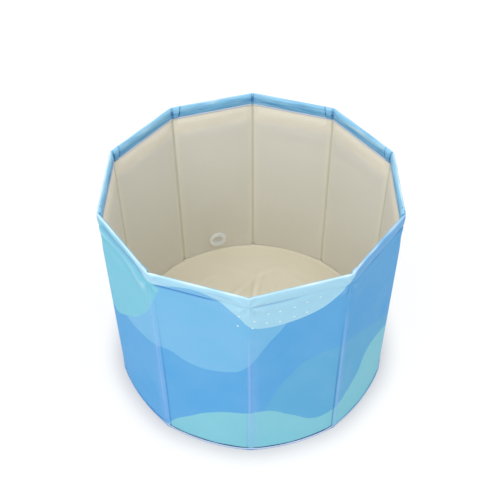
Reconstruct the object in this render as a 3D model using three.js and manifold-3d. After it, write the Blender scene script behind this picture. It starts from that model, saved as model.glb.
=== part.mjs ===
// A foldable baby bathtub, in millimetres, +Z up, standing on Z = 0 with its centre line on the Z axis.
// Ten stiff boards sit in pockets between a printed outer skin and a cream lining. A flexible fold
// hinge joins each wall panel to the next, a hem closes the rim, and the walls stand on a soft floor.
// A drain with a screw cap goes through the lower wall of panel 6, at the back.
// Panel 1 is at the front, right of the centre, and the numbers run counter-clockwise seen from above.
// Fold hinge 1 is the front corner, between panels 10 and 1.
import * as THREE from 'three';
import { mergeVertices } from 'three/addons/utils/BufferGeometryUtils.js';
import Module from 'manifold-3d';

// Driving dimensions of the whole tub
const sideCount = 10;
const foldCircleDiameter = 594;
const tubHeight = 470;
const fitGap = 0.3;
const cutOverrun = 4;

// Walls: skin and lining come together towards the fold lines, and the foot bows outwards
const sheetThickness = 0.9;
const boardThickness = 2.4;
const foldBeadRadius = 3;
const foldBeadSteps = 10;
const hingeHalfWidth = 12;
const weldedThickness = 0.65;
const boardSideGap = 1;
const boardFootGap = 12;
const boardTopGap = 2;
const bottomBow = 10;
const bowHeight = 250;
const bowColumns = 4;
const bowRows = 3;

// Rim hem: the skin folded over the top of the wall
const hemOuterDrop = 22;
const hemInnerDrop = 30;
const hemEndFromFold = 12.5;
const hemLiningLap = 1;
const hemArcSteps = 6;
const cornerDrop = 2;

// Floor: an outer base sheet, the lining above it, and the welt that the walls stand on
const floorSheetThickness = 1.2;
const weltFlange = 4;
const weltInside = 5;

// Drain
const drainPanel = 5;
const drainHeight = 46;
const drainBoreRadius = 10;
const drainTubeRadius = 12.5;
const drainFlangeRadius = 26;
const drainFlangeThickness = 3.2;
const drainNeckRadius = 14;
const drainNeckLength = 11;
const threadDepth = 1;
const threadPitch = 4;
const threadStart = 2.5;
const threadWidth = 1.4;
const threadRings = 2;
const nutRadius = 22;
const nutThickness = 4;
const washerThickness = 1.6;
const capRunningGap = 0.5;
const capWall = 3.2;
const capEndThickness = 2;
const capSkirtGap = 1;
const gripCount = 12;
const gripRadius = 1.6;
const gripSteps = 6;
const roundSteps = 24;

// Sizes that follow from those above
const turn = (2 * Math.PI) / sideCount;
const halfTurn = turn / 2;
const foldRadius = foldCircleDiameter / 2;
const apothem = foldRadius * Math.cos(halfTurn);
const chord = 2 * foldRadius * Math.sin(halfTurn);
const panelHalfWidth = chord / 2 - hingeHalfWidth;
const skinHalfWidth = chord / 2 - foldBeadRadius - fitGap;
const skinInside = boardThickness / 2 + fitGap;
const skinOutside = skinInside + sheetThickness;
const hemInside = skinOutside + fitGap + sheetThickness;
const hemHalfLength = chord / 2 - hemEndFromFold;
const wallFoot = 2 * (floorSheetThickness + fitGap);
const boardFoot = wallFoot + boardFootGap;
const creaseHeight = tubHeight - hemOuterDrop;
const boardTop = creaseHeight - boardTopGap;
const cornerTop = tubHeight - cornerDrop;
const hemMiddle = (skinOutside - hemInside) / 2;
const hemOuterArc = (skinOutside + hemInside) / 2;
const hemArcHeight = tubHeight - hemOuterArc;
const liningTop = hemArcHeight - hemLiningLap;

const wasm = await Module();
wasm.setup();

// Joining and cutting closed geometries with manifold-3d
function toSolid(geometry) {
  const bare = geometry.clone();
  bare.deleteAttribute('normal');
  bare.deleteAttribute('uv');
  const merged = mergeVertices(bare);
  return new wasm.Manifold(new wasm.Mesh({
    numProp: 3,
    vertProperties: new Float32Array(merged.attributes.position.array),
    triVerts: new Uint32Array(merged.index.array),
  }));
}

function toGeometry(solid) {
  const mesh = solid.getMesh();
  const geometry = new THREE.BufferGeometry();
  geometry.setAttribute('position', new THREE.BufferAttribute(mesh.vertProperties, mesh.numProp));
  geometry.setIndex(new THREE.BufferAttribute(mesh.triVerts, 1));
  return geometry;
}

function join(first, ...others) {
  return toGeometry(others.reduce((made, other) => made.add(toSolid(other)), toSolid(first)));
}

function cut(first, ...others) {
  return toGeometry(others.reduce((made, other) => made.subtract(toSolid(other)), toSolid(first)));
}

// How far a wall stands outside its flat plane, at x along the panel and z above the ground
function bowAt(x, z) {
  const across = 1 - Math.min(1, Math.abs(x) / panelHalfWidth) ** 2;
  const down = Math.max(0, 1 - z / bowHeight) ** 2;
  return bottomBow * across * down;
}

// Stations along a panel, each with the offsets of its two faces from the wall's middle surface
function boardStations(narrower, inside, outside) {
  return [...Array(bowColumns + 1).keys()].map((i) => {
    const share = 2 * i / bowColumns - 1;
    const x = Math.abs(share) < 1 ? share * panelHalfWidth : share * (panelHalfWidth - narrower);
    return { x, inside, outside };
  });
}

function skinStations(inside, outside) {
  const side = Math.sign(inside + outside);
  const near = side * fitGap / 2;
  const far = side * (fitGap / 2 + weldedThickness);
  const end = { inside: Math.min(near, far), outside: Math.max(near, far) };
  return [
    { x: -skinHalfWidth, ...end }, ...boardStations(0, inside, outside), { x: skinHalfWidth, ...end },
  ];
}

// A closed sheet that follows the bowed wall between two heights
function wallSheet(stations, bottom, top) {
  const bowTop = Math.min(top, bowHeight);
  const start = Math.max(bottom, boardFoot);
  const rows = bottom < start ? [bottom] : [];
  for (let j = 0; j <= bowRows; j += 1) rows.push(start + (bowTop - start) * j / bowRows);
  if (top > bowTop) rows.push(top);
  const points = [];
  for (const face of ['outside', 'inside']) {
    for (const z of rows) {
      for (const station of stations) points.push(station.x, station[face] + bowAt(station.x, z), z);
    }
  }
  const wide = stations.length;
  const layer = wide * rows.length;
  const faces = [];
  const quad = (a, b, c, d) => faces.push(a, b, c, a, c, d);
  for (let j = 0; j + 1 < rows.length; j += 1) {
    for (let i = 0; i + 1 < wide; i += 1) {
      const a = j * wide + i;
      quad(a, a + wide, a + wide + 1, a + 1);
      quad(layer + a, layer + a + 1, layer + a + wide + 1, layer + a + wide);
    }
    const left = j * wide;
    const right = left + wide - 1;
    quad(left, layer + left, layer + left + wide, left + wide);
    quad(right, right + wide, layer + right + wide, layer + right);
  }
  const last = layer - wide;
  for (let i = 0; i + 1 < wide; i += 1) {
    quad(i, i + 1, layer + i + 1, layer + i);
    quad(last + i, layer + last + i, layer + last + i + 1, last + i + 1);
  }
  const geometry = new THREE.BufferGeometry();
  geometry.setAttribute('position', new THREE.Float32BufferAttribute(points, 3));
  geometry.setIndex(faces);
  return geometry;
}

// A skin or lining: full height at the corners, and cut down to make room for the hem between them
function pocketSheet(inside, outside, top) {
  const full = wallSheet(skinStations(inside, outside), wallFoot, cornerTop);
  const room = new THREE.BoxGeometry(2 * (hemHalfLength + fitGap), 2 * hemInside + cutOverrun, tubHeight);
  return cut(full, room.translate(0, 0, top + tubHeight / 2));
}

// The hem: an inverted U that caps the rim, with a round top and a longer leg inside the tub
function hemSegment() {
  const innerArc = hemOuterArc - sheetThickness;
  const profile = new THREE.Shape();
  profile.moveTo(skinOutside, creaseHeight + fitGap);
  profile.absarc(hemMiddle, hemArcHeight, hemOuterArc, 0, Math.PI, false);
  profile.lineTo(-hemInside, tubHeight - hemInnerDrop);
  profile.lineTo(-hemInside + sheetThickness, tubHeight - hemInnerDrop);
  profile.absarc(hemMiddle, hemArcHeight, innerArc, Math.PI, 0, true);
  profile.lineTo(skinOutside - sheetThickness, creaseHeight + fitGap);
  const geometry = new THREE.ExtrudeGeometry(profile, {
    depth: 2 * hemHalfLength, bevelEnabled: false, curveSegments: hemArcSteps,
  });
  const alongPanel = new THREE.Matrix4().makeBasis(
    new THREE.Vector3(0, 1, 0), new THREE.Vector3(0, 0, 1), new THREE.Vector3(1, 0, 0));
  return geometry.translate(0, 0, -hemHalfLength).applyMatrix4(alongPanel);
}

// The fold hinge between two panels: a welded bead on the fold line
function foldHinge() {
  const length = cornerTop - wallFoot;
  const bead = new THREE.CylinderGeometry(foldBeadRadius, foldBeadRadius, length, foldBeadSteps);
  return bead.rotateX(Math.PI / 2).translate(0, 0, wallFoot + length / 2);
}

// Places round the decagon
function cornerAngle(k) {
  return k * turn - Math.PI / 2;
}

function panelAngle(k) {
  return cornerAngle(k) + halfTurn;
}

// The outline of the walls' foot, seen from above, moved out by a distance
function footOutline(grow) {
  const points = [];
  for (let k = 0; k < sideCount; k += 1) {
    const corner = foldRadius + (skinOutside + grow) / Math.cos(halfTurn);
    points.push(new THREE.Vector2(corner, 0).rotateAround(new THREE.Vector2(), cornerAngle(k)));
    for (const { x } of boardStations(0, 0, 0)) {
      const point = new THREE.Vector2(apothem + skinOutside + bowAt(x, 0) + grow, x);
      points.push(point.rotateAround(new THREE.Vector2(), panelAngle(k)));
    }
  }
  return points;
}

function floorSheet(outline, hole, bottom) {
  const shape = new THREE.Shape(outline);
  if (hole) shape.holes.push(new THREE.Path(hole));
  const geometry = new THREE.ExtrudeGeometry(shape, { depth: floorSheetThickness, bevelEnabled: false });
  return geometry.translate(0, 0, bottom);
}

// Turned pieces of the drain, between two places along its outward axis
function tube(innerRadius, outerRadius, start, end) {
  const profile = [
    [innerRadius, start], [outerRadius, start], [outerRadius, end], [innerRadius, end],
    [innerRadius, start],
  ];
  return new THREE.LatheGeometry(profile.map((point) => new THREE.Vector2(...point)), roundSteps);
}

function plug(radius, start, end) {
  const profile = [[0, start], [radius, start], [radius, end], [0, end]];
  return new THREE.LatheGeometry(profile.map((point) => new THREE.Vector2(...point)), roundSteps);
}

// Places along the drain's axis, from the middle surface of the wall outwards
const flangeFront = skinOutside + fitGap + drainFlangeThickness;
const neckEnd = flangeFront + drainNeckLength;
const nutFront = -(skinOutside + fitGap + nutThickness);
const washerFront = neckEnd + fitGap;
const capInside = washerFront + washerThickness + fitGap;
const capBore = drainNeckRadius + threadDepth + capRunningGap;
const capRadius = capBore + capWall;

function drainPlace(geometry) {
  return geometry.translate(0, bowAt(0, drainHeight), drainHeight);
}

// A block on one side of the wall's surface, that seats the flange and the nut on the bowed wall
function seatBlock(inside, outside) {
  return wallSheet(boardStations(0, inside, outside), wallFoot, bowHeight);
}

function drainBody() {
  const flange = tube(drainBoreRadius, drainFlangeRadius, -cutOverrun, flangeFront);
  const neck = tube(drainBoreRadius, drainNeckRadius, -cutOverrun, neckEnd);
  const threads = [...Array(threadRings).keys()].map((i) => {
    const start = flangeFront + threadStart + i * threadPitch;
    const ring = drainNeckRadius + threadDepth;
    return tube(drainBoreRadius + threadDepth, ring, start, start + threadWidth);
  });
  const seated = cut(
    drainPlace(join(flange, neck, ...threads)), seatBlock(-drainFlangeRadius, skinOutside + fitGap));
  return join(seated, drainPlace(tube(drainBoreRadius, drainTubeRadius, nutFront, flangeFront)));
}

function drainNut() {
  const ring = tube(drainTubeRadius + fitGap, nutRadius, nutFront, cutOverrun);
  return cut(drainPlace(ring), seatBlock(-skinOutside - fitGap, drainFlangeRadius));
}

function drainWasher() {
  return drainPlace(tube(drainBoreRadius, capBore - fitGap, washerFront, washerFront + washerThickness));
}

function drainCap() {
  const outside = plug(capRadius, flangeFront + capSkirtGap, capInside + capEndThickness);
  const hollow = plug(capBore, -cutOverrun, capInside);
  const grips = [...Array(gripCount).keys()].map((i) => {
    const groove = new THREE.CylinderGeometry(gripRadius, gripRadius, capInside + 2 * cutOverrun, gripSteps);
    return groove.translate(capRadius, capInside, 0).rotateY(2 * Math.PI * i / gripCount);
  });
  return drainPlace(cut(outside, hollow, ...grips));
}

// Materials
const material = (color, roughness) => new THREE.MeshStandardMaterial({ color, roughness, metalness: 0 });
const skinPvc = material(0x63aee6, 0.42);
const hemPvc = material(0x8fcdf0, 0.42);
const hingePvc = material(0x7fb2ec, 0.45);
const creamPvc = material(0xdcd5c4, 0.55);
const weltPvc = material(0xbcd9f2, 0.45);
const basePvc = material(0x5f9fd6, 0.5);
const boardPlastic = material(0xd9d9d4, 0.7);
const drainPlastic = material(0xe9ecee, 0.4);
const drainRubber = material(0x9aa1a6, 0.8);

const tub = new THREE.Group();

function add(parent, name, geometry, finish) {
  const mesh = new THREE.Mesh(geometry, finish);
  mesh.name = name;
  parent.add(mesh);
}

function ringGroup(angle, radius) {
  const group = new THREE.Group();
  group.position.set(radius * Math.cos(angle), radius * Math.sin(angle), 0);
  group.rotation.z = angle - Math.PI / 2;
  tub.add(group);
  return group;
}

// Wall panels and their fold hinges
for (let k = 0; k < sideCount; k += 1) {
  const panel = ringGroup(panelAngle(k), apothem);
  const number = k + 1;
  let skin = pocketSheet(skinInside, skinOutside, creaseHeight);
  let board = wallSheet(
    boardStations(boardSideGap, -boardThickness / 2, boardThickness / 2), boardFoot, boardTop);
  let lining = pocketSheet(-skinOutside, -skinInside, liningTop);
  if (k === drainPanel) {
    const hole = drainPlace(plug(drainTubeRadius + fitGap, -drainFlangeRadius, drainFlangeRadius));
    [skin, board, lining] = [skin, board, lining].map((sheet) => cut(sheet, hole));
    add(panel, 'drain_body', drainBody(), drainPlastic);
    add(panel, 'drain_nut', drainNut(), drainPlastic);
    add(panel, 'drain_washer', drainWasher(), drainRubber);
    add(panel, 'drain_cap', drainCap(), drainPlastic);
  }
  add(panel, `outer_skin_${number}`, skin, skinPvc);
  add(panel, `stiffener_board_${number}`, board, boardPlastic);
  add(panel, `lining_${number}`, lining, creamPvc);
  add(panel, `rim_hem_${number}`, hemSegment(), hemPvc);
  add(ringGroup(cornerAngle(k), foldRadius), `fold_hinge_${number}`, foldHinge(), hingePvc);
}

// Floor
const liningBottom = floorSheetThickness + fitGap;
add(tub, 'base_sheet', floorSheet(footOutline(weltFlange), null, 0), basePvc);
add(tub, 'floor_lining', floorSheet(footOutline(-weltInside - fitGap), null, liningBottom), creamPvc);
add(tub, 'bottom_welt', floorSheet(footOutline(weltFlange), footOutline(-weltInside), liningBottom), weltPvc);

export default tub;
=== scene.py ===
"""The looks of the foldable baby bathtub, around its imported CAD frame. Lengths are in metres."""

import math

import bmesh
import bpy
import numpy as np
from mathutils import Matrix, Vector, noise


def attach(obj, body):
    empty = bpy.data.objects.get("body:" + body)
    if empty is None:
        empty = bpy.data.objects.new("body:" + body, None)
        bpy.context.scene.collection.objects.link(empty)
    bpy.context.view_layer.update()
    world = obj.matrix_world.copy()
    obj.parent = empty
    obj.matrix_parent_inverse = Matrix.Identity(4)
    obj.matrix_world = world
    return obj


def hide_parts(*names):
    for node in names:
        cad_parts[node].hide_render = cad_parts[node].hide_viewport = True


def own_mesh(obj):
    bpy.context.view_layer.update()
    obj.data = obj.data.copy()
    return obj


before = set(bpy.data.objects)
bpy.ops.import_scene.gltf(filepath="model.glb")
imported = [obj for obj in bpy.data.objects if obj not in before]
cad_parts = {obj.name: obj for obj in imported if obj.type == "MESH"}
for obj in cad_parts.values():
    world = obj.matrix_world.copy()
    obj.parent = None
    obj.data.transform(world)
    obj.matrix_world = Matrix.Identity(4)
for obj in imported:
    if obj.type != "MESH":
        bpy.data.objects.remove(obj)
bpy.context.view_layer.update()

# Sizes that repeat the CAD source's own
SIDES = 10
TURN = 2 * math.pi / SIDES
HALF_TURN = TURN / 2
FOLD_RADIUS = 0.297
APOTHEM = FOLD_RADIUS * math.cos(HALF_TURN)
CHORD = 2 * FOLD_RADIUS * math.sin(HALF_TURN)
HALF_CHORD = CHORD / 2
PERIMETER = SIDES * CHORD
HEIGHT = 0.470
WALL_FOOT = 0.003
CREASE = 0.448
FLAT_OFFSET = 0.0024
BOW = 0.010
BOW_HEIGHT = 0.250
BOW_HALF_WIDTH = HALF_CHORD - 0.012
SKIN_BOW = 0.011
DRAIN_PANEL = 5
DRAIN_HEIGHT = 0.046

# The camera, fitted to the corners of the tub in the photograph
CAMERA_DISTANCE = 1.7005
CAMERA_ELEVATION = math.radians(44.95)
CAMERA_YAW = math.radians(1.54)
CAMERA_ROLL = math.radians(0.75)
CAMERA_SIDE = -0.0150
CAMERA_LIFT = 0.0465
CAMERA_LENS = 59.016
CAMERA_SENSOR = 36.0
CAMERA_FAR = 30.0
VIEW_CENTRE = Vector((0, 0, HEIGHT / 2))


def make_camera():
    e, y, r = CAMERA_ELEVATION, CAMERA_YAW, CAMERA_ROLL
    back = Vector((math.sin(y) * math.cos(e), -math.cos(y) * math.cos(e), math.sin(e)))
    right = Vector((math.cos(y), math.sin(y), 0))
    up = back.cross(right)
    place = VIEW_CENTRE + CAMERA_DISTANCE * back + CAMERA_SIDE * right + CAMERA_LIFT * up
    across = right * math.cos(r) - up * math.sin(r)
    above = right * math.sin(r) + up * math.cos(r)
    data = bpy.data.cameras.new("camera")
    data.sensor_width = CAMERA_SENSOR
    data.lens = CAMERA_LENS
    data.clip_end = CAMERA_FAR
    camera = bpy.data.objects.new("camera", data)
    camera.matrix_world = Matrix.Translation(place) @ Matrix((across, above, back)).transposed().to_4x4()
    bpy.context.scene.collection.objects.link(camera)
    bpy.context.scene.camera = camera


make_camera()


# Colours and node helpers
def srgb(r, g, b):
    """A colour written as 0 to 255, turned by the standard curve into the linear values that nodes take."""
    def channel(c):
        c /= 255
        return c / 12.92 if c <= 0.04045 else ((c + 0.055) / 1.055) ** 2.4
    return (channel(r), channel(g), channel(b), 1.0)


WHITE = (1, 1, 1, 1)

# The sockets of a colour mix: its share and two colours, and its result
MIX_INPUTS = (0, 6, 7)
MIX_RESULT = 2


class Nodes:
    """Short ways to add and join the shader nodes of one material or world."""

    def __init__(self, owner, output="OutputMaterial"):
        owner.use_nodes = True
        self.owner = owner
        self.tree = owner.node_tree
        self.tree.nodes.clear()
        self.output = self.node(output)

    def put(self, node, key, value):
        if isinstance(value, bpy.types.NodeSocket):
            self.tree.links.new(value, node.inputs[key])
        else:
            node.inputs[key].default_value = value

    def node(self, kind, inputs=None, **settings):
        made = self.tree.nodes.new("ShaderNode" + kind)
        for key, value in settings.items():
            setattr(made, key, value)
        for key, value in (inputs or {}).items():
            self.put(made, key, value)
        return made

    def math(self, operation, a, b):
        return self.node("Math", {0: a, 1: b}, operation=operation).outputs[0]

    def ramp(self, value, low, high, a=0.0, b=1.0):
        """value's way from low to high, eased, as a to b."""
        inputs = {"Value": value, "From Min": low, "From Max": high, "To Min": a, "To Max": b}
        return self.node("MapRange", inputs, interpolation_type="SMOOTHSTEP").outputs["Result"]

    def mix(self, share, a, b):
        inputs = dict(zip(MIX_INPUTS, (share, a, b)))
        return self.node("Mix", inputs, data_type="RGBA").outputs[MIX_RESULT]

    def noise(self, vector, scale, detail, roughness=0.5):
        inputs = {"Vector": vector, "Scale": scale, "Detail": detail, "Roughness": roughness}
        return self.node("TexNoise", inputs).outputs["Fac"]

    def patches(self, vector, scale, detail, low, high, a, b):
        """a where the noise is low and b where it is high."""
        return self.ramp(self.noise(vector, scale, detail), low, high, a, b)

    def attribute(self, name):
        return self.node("Attribute", attribute_name=name).outputs["Fac"]

    def uv(self):
        return self.node("UVMap", uv_map="wall").outputs["UV"]

    def object_place(self):
        return self.node("TexCoord").outputs["Object"]

    def bump(self, height, distance, strength, normal=None):
        made = self.node("Bump", {"Height": height, "Distance": distance, "Strength": strength})
        if normal is not None:
            self.put(made, "Normal", normal)
        return made.outputs["Normal"]

    def finish(self, color, roughness, normal, **constants):
        shader = self.node("BsdfPrincipled", {"Base Color": color, "Roughness": roughness, "Normal": normal})
        for key, value in constants.items():
            shader.inputs[key.replace("_", " ")].default_value = value
        self.put(self.output, "Surface", shader.outputs["BSDF"])
        return self.owner


def new_material(name):
    return Nodes(bpy.data.materials.new(name))


# Colours of the print and of the plain pieces
MID_BLUE = srgb(93, 168, 222)
SKY_BLUE = srgb(119, 186, 228)
TEAL_BLUE = srgb(99, 174, 216)
AQUA = srgb(132, 201, 216)
AQUA_HIGH = srgb(123, 198, 219)
PALE_BLUE = srgb(166, 214, 235)
DOT_WHITE = srgb(236, 248, 252)
# Colours that coated fabric mixes in: lighter for its clouds and painted highlights, darker for its grain and
# painted shade
CLOUD_AND_HIGHLIGHT_WHITE = srgb(222, 240, 250)
GRAIN_AND_SHADE_BLUE = srgb(52, 112, 184)
# A lighter violet along the welds: partly their own colour and partly painted highlight
VIOLET_TINT_AND_HIGHLIGHT = srgb(150, 182, 240)
HEM_BLUE = srgb(114, 184, 228)
# Painted light at the top of the hem's inside
HEM_PAINTED_LIGHT = srgb(142, 204, 238)
HEM_PALE_STREAK = srgb(156, 210, 240)
HEM_DARK_STREAK = srgb(62, 128, 196)
CREAM = srgb(230, 228, 219)
# The lining's warm band lightened with painted light, its painted shade low down, and its painted highlight
# by the seams
CREAM_WARM_AND_LIT = srgb(246, 240, 225)
CREAM_PAINTED_SHADE = srgb(221, 218, 207)
CREAM_HIGHLIGHT = srgb(246, 242, 226)
CREAM_LIGHT = srgb(250, 246, 232)
CREAM_DARK = srgb(176, 170, 146)
FLOOR_CREAM = srgb(234, 227, 207)
FLOOR_DARK = srgb(176, 169, 146)
SEAM_GREEN = srgb(212, 211, 196)
SEAM_DARK = srgb(170, 171, 148)
EDGE_LILAC = srgb(204, 214, 234)
# Navy of the piping under the front panels, darker than the side piping: partly painted shadow
NAVY_AND_SHADOW = srgb(26, 64, 108)
WELT_BLUE = srgb(200, 216, 242)
WHITE_PLASTIC = srgb(226, 230, 232)

# The waves in the order of printing: colour, whether it lies above its outline, and the outline as distance
# round the wall from the front corner and height, in millimetres
WAVES = [
    (SKY_BLUE, True, [
        (-918, 300), (-830, 350), (-740, 330), (-650, 265), (-560, 235), (-480, 250), (-420, 275),
        (-360, 265), (-285, 240), (-220, 255), (-170, 270), (-120, 245), (-85, 240), (-30, 255), (0, 285),
        (20, 315), (40, 345), (60, 370), (90, 440), (130, 540), (560, 540), (640, 440), (700, 350),
        (780, 300), (850, 285), (918, 300)]),
    (TEAL_BLUE, False, [
        (-918, 170), (-840, 230), (-740, 250), (-640, 200), (-560, 110), (-500, 20), (-440, -60),
        (-60, -60), (0, 60), (25, 120), (40, 160), (75, 220), (115, 260), (170, 275), (220, 265),
        (320, 215), (400, 190), (480, 200), (560, 240), (640, 230), (720, 170), (800, 130), (870, 140),
        (918, 170)]),
    (AQUA_HIGH, True, [
        (-918, 520), (-560, 520), (-500, 470), (-470, 400), (-430, 300), (-390, 235), (-350, 215),
        (-320, 230), (-290, 255), (-260, 280), (-230, 315), (-200, 355), (-185, 385), (-175, 410),
        (-165, 435), (-160, 470), (-150, 530), (330, 530), (380, 470), (430, 410), (500, 370), (560, 390),
        (610, 450), (660, 520), (918, 520)]),
    (AQUA, False, [
        (-918, 60), (-850, 100), (-780, 110), (-700, 70), (-640, 10), (-600, -30), (-260, -30), (-200, -20),
        (-185, 0), (-160, 40), (-125, 70), (-75, 105), (-20, 125), (25, 130), (85, 95), (145, 60),
        (170, 65), (210, 90), (255, 120), (290, 160), (340, 165), (400, 130), (470, 70), (540, 30),
        (620, 20), (700, 60), (780, 50), (850, 20), (918, 60)]),
    (PALE_BLUE, True, [
        (-918, 430), (-860, 400), (-800, 410), (-740, 435), (-640, 450), (-560, 450), (-400, 450),
        (-367, 461), (-335, 467), (-250, 467), (-205, 459), (-183, 447), (-156, 449), (-125, 456),
        (-92, 458), (-70, 453), (-54, 446), (-40, 436), (-15, 413), (0, 395), (25, 385), (75, 385),
        (130, 400), (165, 430), (195, 470), (230, 520), (640, 520), (700, 460), (760, 420), (820, 410),
        (870, 425), (918, 430)]),
]
PRINT_EDGE = 0.0008

# Added to the heights of an outline, because a curve node holds none below 0
CURVE_LIFT = 0.1

# The dots of the pale wave, placed as the outlines are
DOTS = [(-20, 393), (-18, 419), (6, 391), (9, 409), (31, 398), (34, 420), (55, 393), (55, 420), (81, 397),
        (81, 422), (105, 400), (104, 427), (128, 432)]
DOT_FADE = (0.0025, 0.0013, 0.0, 0.7)


def wave_mask(n, u, v, outline, over):
    """1 above the outline, or below it, and 0 on the other side, with a crisp printed edge."""
    curve = n.node("FloatCurve")
    points = [((x / 1000 + PERIMETER / 2) / PERIMETER, y / 1000 + CURVE_LIFT) for x, y in outline]
    made = curve.mapping.curves[0].points
    for index, point in enumerate(points):
        if index < 2:
            made[index].location = point
        else:
            made.new(*point)
    curve.mapping.update()
    n.put(curve, "Value", n.math("ADD", n.math("DIVIDE", u, PERIMETER), 0.5))
    away = n.math("SUBTRACT", v, n.math("SUBTRACT", curve.outputs["Value"], CURVE_LIFT))
    edge = PRINT_EDGE if over else -PRINT_EDGE
    return n.ramp(away, -edge, edge)


def dot_mask(n, u, v):
    place = n.node("CombineXYZ", {"X": u, "Y": v}).outputs["Vector"]
    mask = 0.0
    for x, y in DOTS:
        dot = (x / 1000, y / 1000, 0)
        away = n.node("VectorMath", {0: place, 1: dot}, operation="DISTANCE").outputs["Value"]
        mask = n.math("MAXIMUM", mask, n.ramp(away, *DOT_FADE))
    return mask


def print_color(n, u, v):
    """The printed waves and dots, at u round the wall and v up it."""
    color = MID_BLUE
    for wave, over, outline in WAVES:
        color = n.mix(wave_mask(n, u, v, outline, over), color, wave)
    return n.mix(dot_mask(n, u, v), color, DOT_WHITE)


# Noise in a surface: scale, detail, the levels of noise between which it changes, and the value at each
CLOUDS = (11.0, 2.0, 0.3, 0.7, 0.0, 0.04)
GRAIN = (420.0, 2.0, 0.35, 0.65, 0.0, 0.06)
GLOSS_PATCHES = (60.0, 3.0, 0.2, 0.8)
MOULDED_CLOUDS = (60.0, 3.0, 0.3, 0.7, 0.0, 0.5)
MOULDED_PATCHES = (240.0, 2.0, 0.2, 0.8)

# Bumps: the noise's scale and detail, then its depth and strength
SOFT_NOISE = (26.0, 3.0)
SOFT_BUMP = (0.0012, 0.4)
MOULDED_NOISE = (900.0, 2.0)
MOULDED_BUMP = (0.00008, 0.6)
WEAVE_PITCH = 0.0011
WEAVE_BUMP = (0.00003, 0.6)

# The least and most roughness of a coated fabric, and how strongly it reflects
PLAIN_GLOSS = 0.26
PRINT_SHEEN = (0.38, 0.45, 0.025)
WELD_SHEEN = (0.28, 0.38, 0.14)
HEM_SHEEN = (0.30, 0.42, 0.18)
LINING_SHEEN = (0.42, 0.56)


def weave_bump(n, vector, normal):
    """The fine scrim that shows through coated fabric."""
    split = n.node("SeparateXYZ", {"Vector": vector})
    wave = 2 * math.pi / WEAVE_PITCH
    across, down = (n.math("SINE", n.math("MULTIPLY", split.outputs[axis], wave), 0.0) for axis in "XY")
    return n.bump(n.math("MULTIPLY", across, down), *WEAVE_BUMP, normal)


def coated(n, color, light, dark, low, high, gloss=PLAIN_GLOSS):
    """Coated fabric: clouded and finely grained colour, painted highlights and shade from its mesh, and a
    soft gloss.
    """
    uv = n.uv()
    color = n.mix(n.patches(uv, *CLOUDS), color, light)
    color = n.mix(n.patches(uv, *GRAIN), color, dark)
    # Painted highlights where the mesh's shading value is above 0, painted shade where it is below 0, and
    # some streaks and gradients of tone
    painted_shading_and_tone = n.attribute("painted_shading_and_tone")
    color = n.mix(n.ramp(painted_shading_and_tone, 0.0, 1.0), color, light)
    color = n.mix(n.ramp(painted_shading_and_tone, 0.0, -1.0), color, dark)
    roughness = n.patches(uv, *GLOSS_PATCHES, low, high)
    normal = n.bump(n.noise(uv, *SOFT_NOISE), *SOFT_BUMP)
    return n.finish(color, roughness, weave_bump(n, uv, normal), Specular_IOR_Level=gloss)


def wall_place(n):
    split = n.node("SeparateXYZ", {"Vector": n.uv()})
    return split.outputs["X"], split.outputs["Y"]


def printed_pvc():
    n = new_material("printed_pvc")
    # A lighter violet beside the fold lines: partly the fabric's own colour and partly painted highlight
    color = n.mix(n.attribute("violet_tint_and_highlight"), print_color(n, *wall_place(n)), VIOLET_TINT_AND_HIGHLIGHT)
    return coated(n, color, CLOUD_AND_HIGHLIGHT_WHITE, GRAIN_AND_SHADE_BLUE, *PRINT_SHEEN)


# The heights between which a weld turns a lighter violet, partly its own colour and partly painted highlight,
# and its share of violet at each
WELD_TINT = (0.42, 0.26, 0.0, 0.44)


def weld_pvc():
    """The print, turned lighter violet along the weld: partly the weld's own colour, partly painted
    highlight.
    """
    n = new_material("weld_pvc")
    u, v = wall_place(n)
    color = n.mix(n.ramp(v, *WELD_TINT), print_color(n, u, v), VIOLET_TINT_AND_HIGHLIGHT)
    return coated(n, color, CLOUD_AND_HIGHLIGHT_WHITE, GRAIN_AND_SHADE_BLUE, *WELD_SHEEN)


# The hem's streaks: how they are drawn out, their noise, and the levels and shares of pale and dark ones
STREAK_STRETCH = (14.0, 260.0, 0.0)
STREAK_NOISE = (1.0, 3.0, 0.6)
PALE_STREAKS = (0.50, 0.62, 0.0, 0.65)
DARK_STREAKS = (0.48, 0.36, 0.0, 0.28)

# Where the hem's print ends, and where its inside turns from painted light at the top to full blue, up its
# folded width
HEM_PRINT_END = (HEIGHT - 0.001, HEIGHT + 0.002)
HEM_PAINTED_LIGHT_END = (HEIGHT + 0.004, HEIGHT + 0.018)


def hem_pvc():
    """The print outside the rim, and blue from the rim's top down its inside, lighter there with painted
    light.
    """
    n = new_material("hem_pvc")
    u, v = wall_place(n)
    drawn = n.node("VectorMath", {0: n.uv(), 1: STREAK_STRETCH}, operation="MULTIPLY").outputs[0]
    streaks = n.noise(drawn, *STREAK_NOISE)
    inside = n.mix(n.ramp(v, *HEM_PAINTED_LIGHT_END), HEM_PAINTED_LIGHT, HEM_BLUE)
    inside = n.mix(n.ramp(streaks, *PALE_STREAKS), inside, HEM_PALE_STREAK)
    inside = n.mix(n.ramp(streaks, *DARK_STREAKS), inside, HEM_DARK_STREAK)
    color = n.mix(n.ramp(v, *HEM_PRINT_END), print_color(n, u, v), inside)
    return coated(n, color, CLOUD_AND_HIGHLIGHT_WHITE, GRAIN_AND_SHADE_BLUE, *HEM_SHEEN)


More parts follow.
